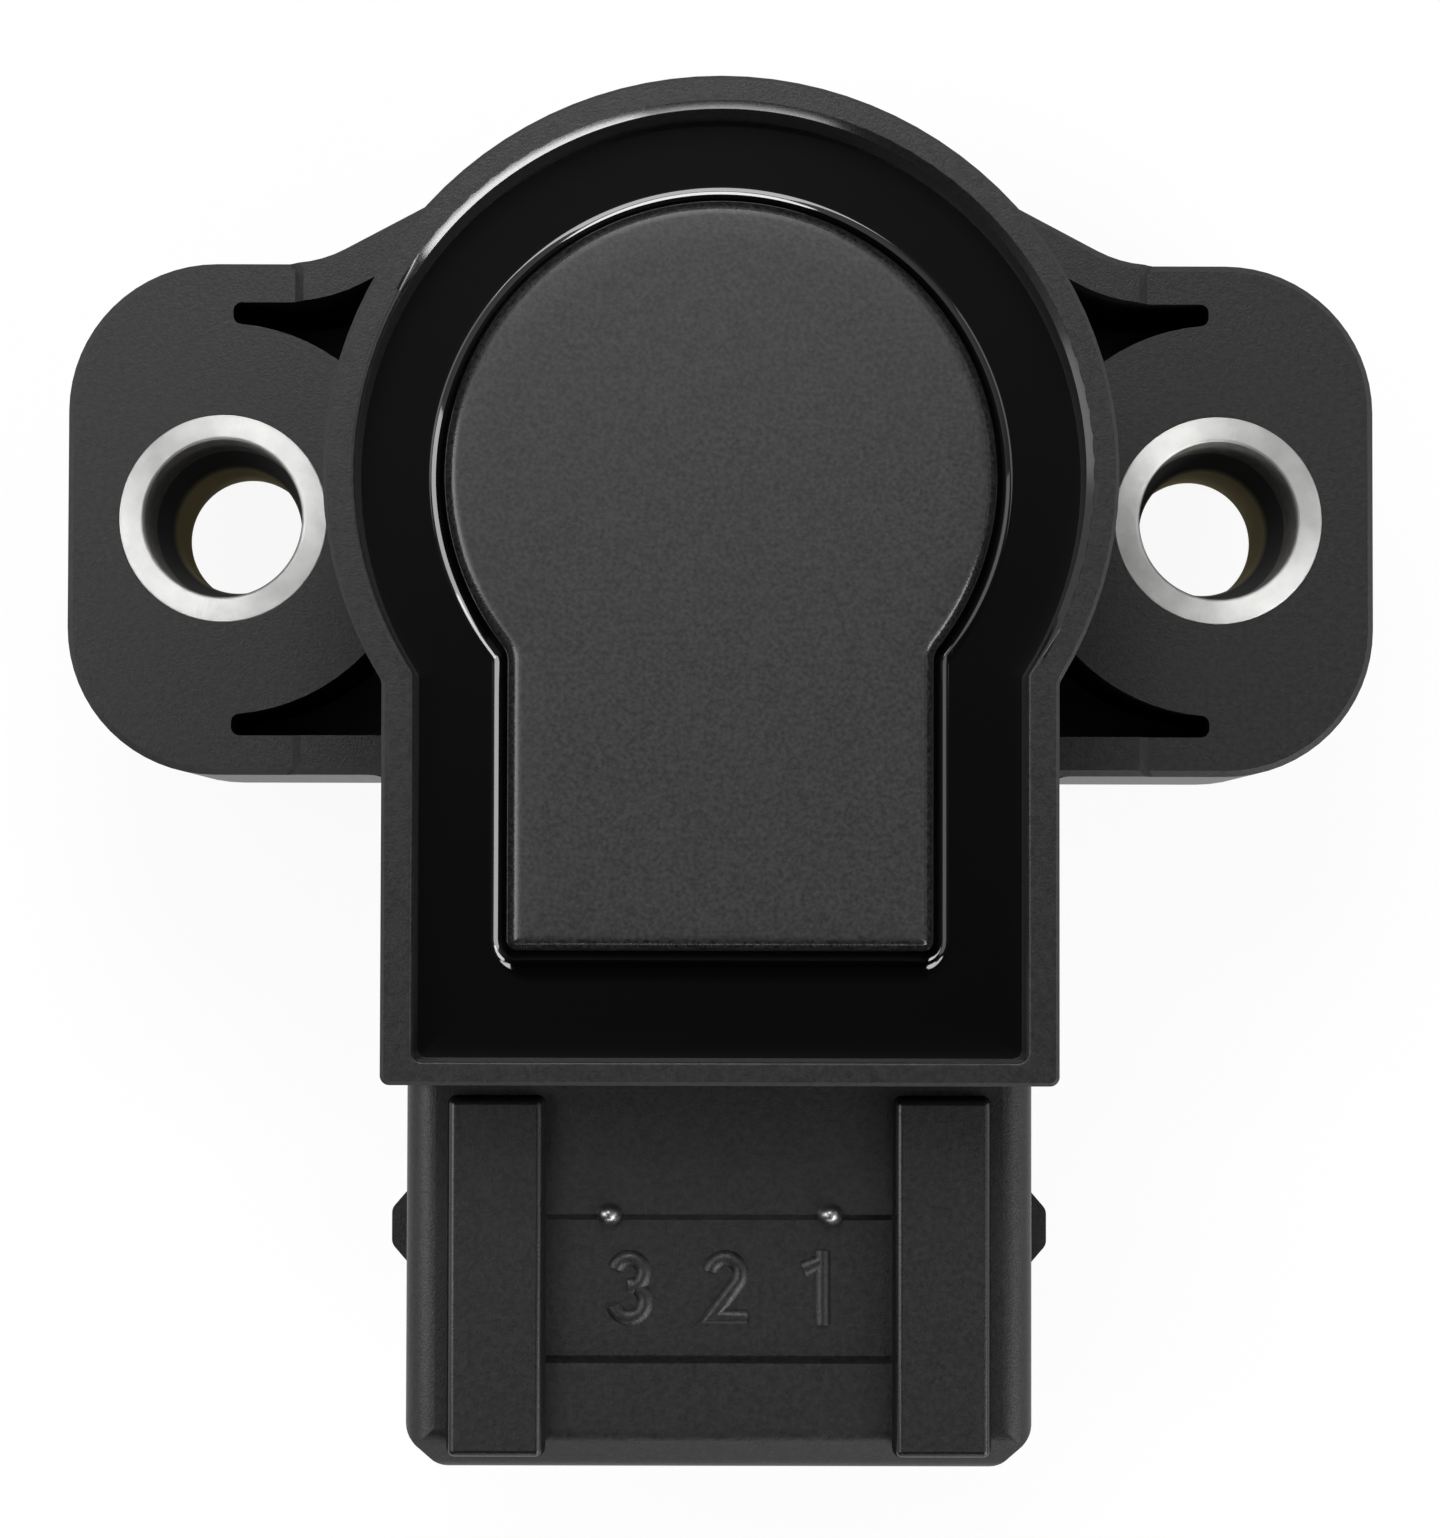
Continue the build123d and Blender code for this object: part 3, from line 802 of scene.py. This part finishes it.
@dataclass
class Sleeve:
    """A steel sleeve in one ear, turned with a stepped bore."""

    node: str
    outer: float = 3.45
    wide: float = 2.6
    narrow: float = 2.15
    head_depth: float = 3.0
    step: float = 1.7
    chamfer: float = 0.1
    softening: float = 0.05
    around: int = 144

    @property
    def axis_x(self) -> float:
        """Where the sleeve's axis crosses X, from the frame."""
        low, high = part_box(self.node)
        return (low.x + high.x) / 2 / MM

    def section(self) -> np.ndarray:
        """The sleeve's section, with all its corners softened.

        Returns:
            Points of radius and Z, in order round the section.
        """
        low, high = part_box(self.node)
        bottom, top = low.z / MM, high.z / MM
        cone = top - self.head_depth
        profile = [
            (self.narrow, bottom),
            (self.outer, bottom),
            (self.outer, top),
            (self.wide + self.chamfer, top),
            (self.wide, top - self.chamfer),
            (self.wide, cone),
            (self.narrow, cone - self.step),
        ]
        return softened(profile, self.softening)

    def build(
        self, steel: bpy.types.Material, wall: bpy.types.Material, bore: bpy.types.Material
    ) -> None:
        """Makes the piece in place of its CAD node.

        Args:
            steel: The finish of the face and the outside.
            wall: The finish of the counterbore.
            bore: The finish of the cone, darkened with painted shade, and of the bore below it.
        """
        section = self.section()
        radius = (section[:, 0] + np.roll(section[:, 0], -1)) / 2
        deep = radius < self.wide - self.softening
        counterbore = radius < self.wide + self.chamfer - self.softening
        choice = np.select([deep, counterbore], [2, 1], 0)
        shell = Shell(f"{self.node}_turned", Slot.SLEEVE, (self.node,))
        grid = lathe(section, (self.axis_x, 0), self.around)
        shell.build([(grid, True, True)], [steel, wall, bore], np.repeat(choice, self.around))


@dataclass
class PinMarks:
    """The raised pin numbers, the two pips and a strip of painted shade on the upper edge of the
    connector's panel.
    """

    places: tuple[tuple[int, float], ...] = ((3, -2.9), (2, 0.2), (1, 3.08))
    top_z: float = 12.0
    panel_depth: float = 0.25
    digit_top_y: float = -23.93
    digit_height: float = 2.4
    stroke: float = 0.52
    raised: float = 0.15
    layer: float = 0.01
    pip_half_width: float = 0.43
    pip_half_length: float = 0.38
    pip_height: float = 0.58
    pip_start: float = 0.125
    pip_foot: float = 0.375
    pip_x: float = 3.57
    panel_y: float = -22.75
    panel_slope: float = 0.2
    panel_half_width: float = 5.6
    skin: float = 0.004
    back: float = 0.05

    def strokes(self, digit: int) -> list[np.ndarray]:
        """The middle lines of one digit, in units of its height.

        Args:
            digit: 1, 2 or 3.

        Returns:
            Open lines of X and Y, with Y from 0 at the foot to 1 at the top.
        """
        turn = math.radians
        if digit == 1:
            flag = np.array([(-0.15, 0.75), (0.11, 0.86)])
            return [np.array([(0.11, 1.0), (0.11, 0.0)]), flag]
        if digit == 2:
            bowl = arc((0.0, 0.69), 0.205, turn(172), turn(-38), 22)
            return [np.vstack([bowl, [(-0.19, 0.1), (0.3, 0.1)]])]
        upper = arc((0.0, 0.70), 0.195, turn(165), turn(-95), 22)
        lower = arc((0.0, 0.31), 0.215, turn(95), turn(-165), 24)
        return [upper, lower]

    def bead(self, line: np.ndarray, drop: float) -> np.ndarray:
        """A soft-edged bar carried along a line, with mitred corners and closed ends.

        At each point the side direction is the sum of the normals of the two runs beside it, divided
        by one plus their product, which keeps the bar's width round a corner. The section's height is
        1 - u^2, with u from -1 to 1 across it, on a foot sunk in the panel.

        Args:
            line: The bar's middle line in millimetres.
            drop: How much lower than the others this bar is.

        Returns:
            A grid of points: one row for each step, closed round the section.
        """
        run = np.diff(line, axis=0)
        run /= np.linalg.norm(run, axis=1, keepdims=True)
        normal = np.column_stack([-run[:, 1], run[:, 0]])
        before, after = np.vstack([normal[:1], normal]), np.vstack([normal, normal[-1:]])
        side = (before + after) / (1 + np.sum(before * after, axis=1, keepdims=True))
        panel = self.top_z - self.panel_depth
        u = np.cos(np.linspace(0, math.pi, 13))
        across = np.concatenate([[1], u, [-1]]) * self.stroke / 2
        foot = [panel - self.raised]
        height = np.concatenate([foot, panel + (self.raised - drop) * (1 - u**2), foot])
        plan = line[:, None] + side[:, None] * across[None, :, None]
        height = np.broadcast_to(height, plan.shape[:2])
        bar = np.concatenate([plan, height[:, :, None]], axis=2)
        return capped(bar)

    def dome(self, side: int) -> np.ndarray:
        """A rounded pip: half an ellipsoid, wider than long, on a short collar.

        Args:
            side: -1 for the left pip and 1 for the right.

        Returns:
            A grid of points from the top down.
        """
        polar = np.linspace(0, math.pi / 2, 12)
        radius = np.append(np.sin(polar), [1, 0])
        start, foot = self.top_z - self.pip_start, self.top_z - self.pip_foot
        z = np.append(start + self.pip_height * np.cos(polar), [foot, foot])
        stretch = np.array([self.pip_half_width, self.pip_half_length, 1])
        place = (side * self.pip_x, self.panel_y, 0)
        return lathe(np.column_stack([radius, z]), (0, 0), 32) * stretch + place

    def panel_edge_shade(self) -> np.ndarray:
        """A strip of painted shade over the slope along the panel's upper edge: a thin flat section
        carried along X.

        Returns:
            A grid of points: one row for each step along X, closed round the section.
        """
        floor, skin = self.top_z - self.panel_depth, self.skin
        y = self.panel_y + np.array([skin, -self.panel_slope - skin, -self.panel_slope, skin])
        z = np.array([self.top_z + skin, floor + skin, floor - self.back, self.top_z - self.back])
        x = np.linspace(-self.panel_half_width, self.panel_half_width, 24)
        bar = np.stack(np.broadcast_arrays(x[:, None], y, z), axis=2)
        return capped(bar)

    def build(
        self, moulded: bpy.types.Material, painted_shade: bpy.types.Material, bright: bpy.types.Material
    ) -> None:
        """Makes the digits, a strip of painted shade on the panel's upper edge, and the pips.

        Args:
            moulded: The finish of the digits.
            painted_shade: The near-black, dull finish that paints the shade on the panel's edge.
            bright: The finish of the pips.
        """
        for digit, x in self.places:
            grids = []
            for index, line in enumerate(self.strokes(digit)):
                place = line * self.digit_height + (x, self.digit_top_y - self.digit_height)
                grids.append((self.bead(place, self.layer * index), False, True))
            Shell(f"digit_{digit}", Slot.HOUSING).build(grids, [moulded])
        for name, side in (("pip_left", -1), ("pip_right", 1)):
            Shell(name, Slot.HOUSING).build([(self.dome(side), False, True)], [bright])
        # The strip over the panel's upper edge is painted shade.
        edge = Shell("panel_edge_shade", Slot.HOUSING)
        edge.build([(self.panel_edge_shade(), False, True)], [painted_shade])


@dataclass
class KeyBars:
    """The rounded edges and drafted flanks of the two key bars on the connector, with painted shade on
    the flanks.
    """

    half_size: tuple[float, float] = (1.5, 5.72)
    centre_x: float = 7.18
    centre_y: float = -24.73
    top_z: float = 12.9
    foot_z: float = 12.0
    edge_round: float = 0.2
    flank: float = 0.09
    sunk: float = 0.15
    skin: float = 0.003
    back: float = 0.05
    smallest_round: float = 0.01
    corner_steps: int = 8
    edge_steps: int = 9

    def outline(self, inset: float) -> np.ndarray:
        """A bar's rectangle drawn in by a distance, with a quarter circle at each corner.

        Args:
            inset: The distance.

        Returns:
            Points of X and Y about the bar's middle.
        """
        radius = max(self.smallest_round, self.edge_round - inset)
        reach = np.array(self.half_size) - inset - radius
        quarter = math.pi / 2
        arcs = []
        for index, signs in enumerate(((1, 1), (-1, 1), (-1, -1), (1, -1))):
            start = index * quarter
            arcs.append(arc(tuple(reach * signs), radius, start, start + quarter, self.corner_steps))
        return np.vstack(arcs)

    def edge_grid(self, side: int) -> tuple[np.ndarray, np.ndarray]:
        """Outlines carried up the flank, over a quarter circle and back under the bar's faces.

        Args:
            side: -1 for the left bar and 1 for the right.

        Returns:
            A grid of points whose first and last rows meet, and each face's finish.
        """
        turn = np.linspace(0, math.pi / 2, self.edge_steps)
        inset = self.edge_round * (1 - np.cos(turn))
        height = self.top_z + self.skin - self.edge_round * (1 - np.sin(turn))
        low = self.foot_z - self.sunk
        flank = [(-self.flank, low), (-self.flank, self.foot_z)]
        under = [(self.edge_round + self.back, self.top_z - self.back), (self.back, low)]
        section = [*flank, *zip(inset, height), *under]
        centre = (side * self.centre_x, self.centre_y)
        rings = [self.outline(d) + centre for d, _ in section]
        heights = [np.full((len(rings[0]), 1), z) for _, z in section]
        grid = np.stack([np.hstack(pair) for pair in zip(rings, heights)])
        # The flank faces take the near-black finish that paints their shade.
        painted_shade = np.ones(len(section))
        painted_shade[len(flank) : -len(under)] = 0
        return grid, np.repeat(painted_shade, grid.shape[1])

    def build(self, soft: bpy.types.Material, painted_shade: bpy.types.Material) -> None:
        """Makes the edges of both bars, with painted shade on their flanks.

        Args:
            soft: The finish of the rounded edges.
            painted_shade: The near-black, dull finish that paints the shade on the flanks.
        """
        for name, side in (("key_edge_left", -1), ("key_edge_right", 1)):
            grid, choice = self.edge_grid(side)
            Shell(name, Slot.HOUSING).build([(grid, True, True)], [soft, painted_shade], choice)


@dataclass
class Softbox:
    """A rectangular studio light, given by the angles under which the sensor sees it."""

    name: str
    azimuth: float
    elevation: float
    spread: float
    rise: float
    radiance: float
    distance: float = 300.0

    def build(self, target: Vector) -> None:
        """Hangs the light at its angles round a point, with the power that gives its radiance.

        Args:
            target: The point that it faces, in metres.
        """
        turn, lift = math.radians(self.azimuth), math.radians(self.elevation)
        way = Vector((math.cos(turn) * math.cos(lift), math.sin(turn) * math.cos(lift), math.sin(lift)))
        reach = self.distance * MM
        lamp = bpy.data.lights.new(self.name, "AREA")
        lamp.shape = "RECTANGLE"
        lamp.size = 2 * reach * math.cos(lift) * math.tan(math.radians(self.spread) / 2)
        lamp.size_y = 2 * reach * math.tan(math.radians(self.rise) / 2)
        lamp.energy = math.pi * lamp.size * lamp.size_y * self.radiance
        light = bpy.data.objects.new(self.name, lamp)
        light.location = target + way * reach
        light.rotation_mode = "QUATERNION"
        light.rotation_quaternion = way.to_track_quat("Z", "Y")
        bpy.context.scene.collection.objects.link(light)


@dataclass
class Studio:
    """The floor, the lights, the surroundings and the camera."""

    eye: Point = (-0.164, -12.815, 147.58)
    target: Point = (-0.003, -8.277, 9.0)
    roll: float = 0.13
    lens: float = 98.05
    sensor: float = 36.0
    clip: tuple[float, float] = (1.0, 10_000.0)
    floor_size: float = 3000.0
    floor_gap: float = 0.02
    floor_grey: float = 0.82
    backdrop_share: float = 0.92
    tent: float = 0.55
    tent_top: float = 0.035
    tent_fade: tuple[float, float] = (0.5, 0.985)
    cap_lean: tuple[float, float] = (6.0, -20.0)
    front_share: float = 0.12
    front_fade: tuple[float, float] = (-0.7, 0.0)

    def camera(self) -> None:
        """Sets the camera at the picture's viewpoint, with the connector towards the lower edge."""
        lens = bpy.data.cameras.new("camera")
        lens.sensor_width = self.sensor
        lens.lens = self.lens
        lens.clip_start, lens.clip_end = (distance * MM for distance in self.clip)
        camera = bpy.data.objects.new("camera", lens)
        eye, target = Vector(self.eye) * MM, Vector(self.target) * MM
        back = (eye - target).normalized()
        right = Vector((0, 1, 0)).cross(back).normalized()
        up = back.cross(right)
        turn = Matrix.Rotation(math.radians(self.roll), 3, "Z")
        facing = Matrix((right, up, back)).transposed() @ turn
        camera.rotation_mode = "QUATERNION"
        camera.rotation_quaternion = facing.to_quaternion()
        camera.location = eye
        bpy.context.scene.collection.objects.link(camera)
        bpy.context.scene.camera = camera

    def seen_directly(self, tree: bpy.types.NodeTree, share: float) -> bpy.types.NodeSocket:
        """A factor that is the given share for rays that show the backdrop, and 0 for rays of light.

        Args:
            tree: The node tree to add to.
            share: The factor's value on camera, glossy and transmission rays.

        Returns:
            The factor's socket.
        """
        path = tree.nodes.new("ShaderNodeLightPath")
        total = path.outputs["Is Camera Ray"]
        for name in ("Is Glossy Ray", "Is Transmission Ray"):
            total = combine(tree, "MAXIMUM", total, path.outputs[name])
        return combine(tree, "MULTIPLY", total, share)

    def floor(self) -> None:
        """Lays a pale floor under the sensor that stays white to the eye and keeps a soft shadow."""
        half = self.floor_size / 2 * MM
        z = CAD_BOX[0].z - self.floor_gap * MM
        corners = [(-half, -half, z), (half, -half, z), (half, half, z), (-half, half, z)]
        mesh = bpy.data.meshes.new("floor")
        mesh.from_pydata(corners, [], [(0, 1, 2, 3)])
        material = bpy.data.materials.new("pale_floor")
        material.use_nodes = True
        tree = material.node_tree
        tree.nodes.clear()
        matt = tree.nodes.new("ShaderNodeBsdfDiffuse")
        matt.inputs["Color"].default_value = (self.floor_grey,) * 3 + (1,)
        white = tree.nodes.new("ShaderNodeEmission")
        mix = tree.nodes.new("ShaderNodeMixShader")
        output = tree.nodes.new("ShaderNodeOutputMaterial")
        tree.links.new(self.seen_directly(tree, self.backdrop_share), mix.inputs["Fac"])
        tree.links.new(matt.outputs["BSDF"], mix.inputs[1])
        tree.links.new(white.outputs["Emission"], mix.inputs[2])
        tree.links.new(mix.outputs["Shader"], output.inputs["Surface"])
        mesh.materials.append(material)
        floor = bpy.data.objects.new("floor", mesh)
        bpy.context.scene.collection.objects.link(floor)

    def surroundings(self) -> None:
        """Sets a white tent with a dark cap and a dim front, shown as white behind the floor's edge.

        The cap follows the angle from an axis that leans a little off the vertical, and the front
        follows Y. Their product is the tent's strength.
        """
        world = bpy.data.worlds.new("studio")
        bpy.context.scene.world = world
        world.use_nodes = True
        tree = world.node_tree
        sky = tree.nodes["Background"]
        sky.inputs["Color"].default_value = (1, 1, 1, 1)
        direction = tree.nodes.new("ShaderNodeTexCoord").outputs["Generated"]
        east, north = [math.tan(math.radians(lean)) for lean in self.cap_lean]
        values = (self.tent, self.tent_top)
        cap = self.fade(tree, direction, Vector((east, north, 1)), self.tent_fade, values)
        front = self.fade(tree, direction, Vector((0, 1, 0)), self.front_fade, (self.front_share, 1))
        strength = combine(tree, "MULTIPLY", cap, front)
        path = tree.nodes.new("ShaderNodeLightPath")
        shown = combine(tree, "MAXIMUM", strength, path.outputs["Is Camera Ray"])
        tree.links.new(shown, sky.inputs["Strength"])

    @staticmethod
    def fade(
        tree: bpy.types.NodeTree,
        direction: bpy.types.NodeSocket,
        axis: Vector,
        span: tuple[float, float],
        values: tuple[float, float],
    ) -> bpy.types.NodeSocket:
        """A smooth change of strength with the angle from an axis.

        Args:
            tree: The world's node tree.
            direction: The socket that gives the direction.
            axis: The axis.
            span: The cosines between which the strength changes.
            values: The strength at the two ends.

        Returns:
            The strength's socket.
        """
        angle = tree.nodes.new("ShaderNodeVectorMath")
        angle.operation = "DOT_PRODUCT"
        angle.inputs[1].default_value = axis.normalized()
        change = tree.nodes.new("ShaderNodeMapRange")
        change.interpolation_type = "SMOOTHSTEP"
        for name, value in zip(("From Min", "From Max", "To Min", "To Max"), (*span, *values)):
            change.inputs[name].default_value = value
        tree.links.new(direction, angle.inputs[0])
        tree.links.new(angle.outputs["Value"], change.inputs["Value"])
        return change.outputs["Result"]

    def lights(self) -> None:
        """Hangs the softboxes: broad ones above and at the left, and strips that draw bright edges."""
        target = Vector(self.target) * MM
        boxes = [
            Softbox("top_strip", 96, 43.6, 43, 6, 12),
            Softbox("top_panel", 96, 58, 44, 22, 6.3, 160),
            Softbox("left", 177, 43, 40, 26, 5.2, 180),
            Softbox("lower_left", 206, 56, 28, 4.2, 9),
            Softbox("hook_left", 224, 61, 18, 5, 7.5),
            Softbox("hook_right", -42, 60, 30, 5, 7),
            Softbox("right_panel", 32, 66, 36, 12, 1.2),
            Softbox("left_panel", 145, 66, 40, 12, 1.4),
            Softbox("right", -8, 51.5, 40, 8, 1.2),
            Softbox("lower_right", -34, 34, 40, 14, 8),
            Softbox("low_right", -53, 16.5, 46, 7, 15),
            Softbox("low_front", -94, 16.5, 32, 5, 7),
            Softbox("low_side", 4, 13, 50, 12, 1.6),
            Softbox("low_left", 182, 13, 22, 12, 1.4),
        ]
        for box in boxes:
            box.build(target)

    def build(self) -> None:
        """Makes the whole set."""
        bpy.context.scene.view_settings.view_transform = "Standard"
        self.camera()
        self.floor()
        self.surroundings()
        self.lights()


@dataclass
class Dressing:
    """The finishes of the CAD nodes that are shown as they are."""

    housing: MouldedPlastic = MouldedPlastic(
        "housing_black", (0.004, 0.004, 0.0043), 0.44, mottle_mm=0.18, mottling=1.0, sheen_change=0.12
    )
    rotor: MouldedPlastic = MouldedPlastic("rotor_natural", (0.6, 0.55, 0.44), 0.45, mottling=0.05)
    seal: MouldedPlastic = MouldedPlastic("seal_black", (0.014, 0.014, 0.014), 0.6, grain_mm=0.08)
    board: MouldedPlastic = MouldedPlastic("board_laminate", (0.15, 0.085, 0.04), 0.4, mottle_mm=0.3)
    tin: SheetMetal = SheetMetal("terminal_tin", (0.66, 0.65, 0.62), 0.32)
    brass: SheetMetal = SheetMetal("wiper_brass", (0.72, 0.52, 0.26), 0.28)
    solder: SheetMetal = SheetMetal("solder_bright", (0.62, 0.62, 0.62), 0.25)
    spring: SheetMetal = SheetMetal("spring_strip", (0.5, 0.5, 0.5), 0.3)

    def build(self) -> bpy.types.Material:
        """Puts each finish on its nodes.

        Returns:
            The housing's material, which the pieces moulded on it share.
        """
        moulded = self.housing.material()
        tin = self.tin.material()
        finishes = {
            "housing": moulded,
            "rotor": self.rotor.material(),
            "rotor_seal": self.seal.material(),
            "track_board": self.board.material(),
            "wiper": self.brass.material(),
            "solder_joints": self.solder.material(),
            "return_spring": self.spring.material(),
            "terminal_1": tin,
            "terminal_2": tin,
            "terminal_3": tin,
        }
        for node, material in finishes.items():
            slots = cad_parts[node].data.materials
            slots.clear()
            slots.append(material)
            LOG.info("%s: %s", node, material.name)
        return moulded


def main() -> None:
    """Dresses the sensor and sets the studio round it."""
    logging.basicConfig(level=logging.INFO, format="%(name)s: %(message)s")
    moulded = Dressing().build()
    top = PottedTop(
        cover=Keyhole(radius=8.75, half_width=6.73, end_y=-14.23, neck=0.8, corner=0.35),
        pot=Keyhole(radius=11.45, half_width=9.57, end_y=-17.63),
    )
    lid = MouldedPlastic(
        "cover_black", (0.013, 0.013, 0.014), 0.44, grain_depth_mm=0.005, mottling=0.65, edge_share=0.33
    )
    resin = CastResin("resin_black", (0.0004, 0.0004, 0.0004), 0.05)
    polished = MouldedPlastic(
        "edge_black", (0.005, 0.005, 0.0053), 0.16, grain_depth_mm=0.0005, sheen_change=0.02, ior=1.7
    )
    top.build(lid.material(), resin.material(), [polished.material(), moulded])
    # The cone's near-black colour is painted shade; below edge_z the bore is brownish.
    bore = DullBore("bore_painted_cone_shade", cone=(0.05, 0.05, 0.052), below=(0.34, 0.3, 0.19), edge_z=4.3).material()
    wall = DullSurface("counterbore_dull", (0.13, 0.128, 0.12)).material()
    for node in ("left_sleeve", "right_sleeve"):
        sleeve = Sleeve(node)
        steel = TurnedSteel(f"{node}_steel", (0.5, 0.5, 0.49), 0.42, sleeve.axis_x)
        sleeve.build(steel.material(), wall, bore)
    bright = SheetMetal("pip_bright", (0.26, 0.26, 0.26), 0.32)
    # Near-black, dull finish: painted shade on the panel's upper edge and on the key bars' flanks.
    painted_shade = DullSurface("shade_strip_black", (0.012, 0.012, 0.012)).material()
    PinMarks().build(moulded, painted_shade, bright.material())
    key_edge = MouldedPlastic("key_edge_black", (0.004, 0.004, 0.0043), 0.3, grain_depth_mm=0.004)
    KeyBars().build(key_edge.material(), painted_shade)
    Studio().build()


if __name__ == "__main__":
    main()
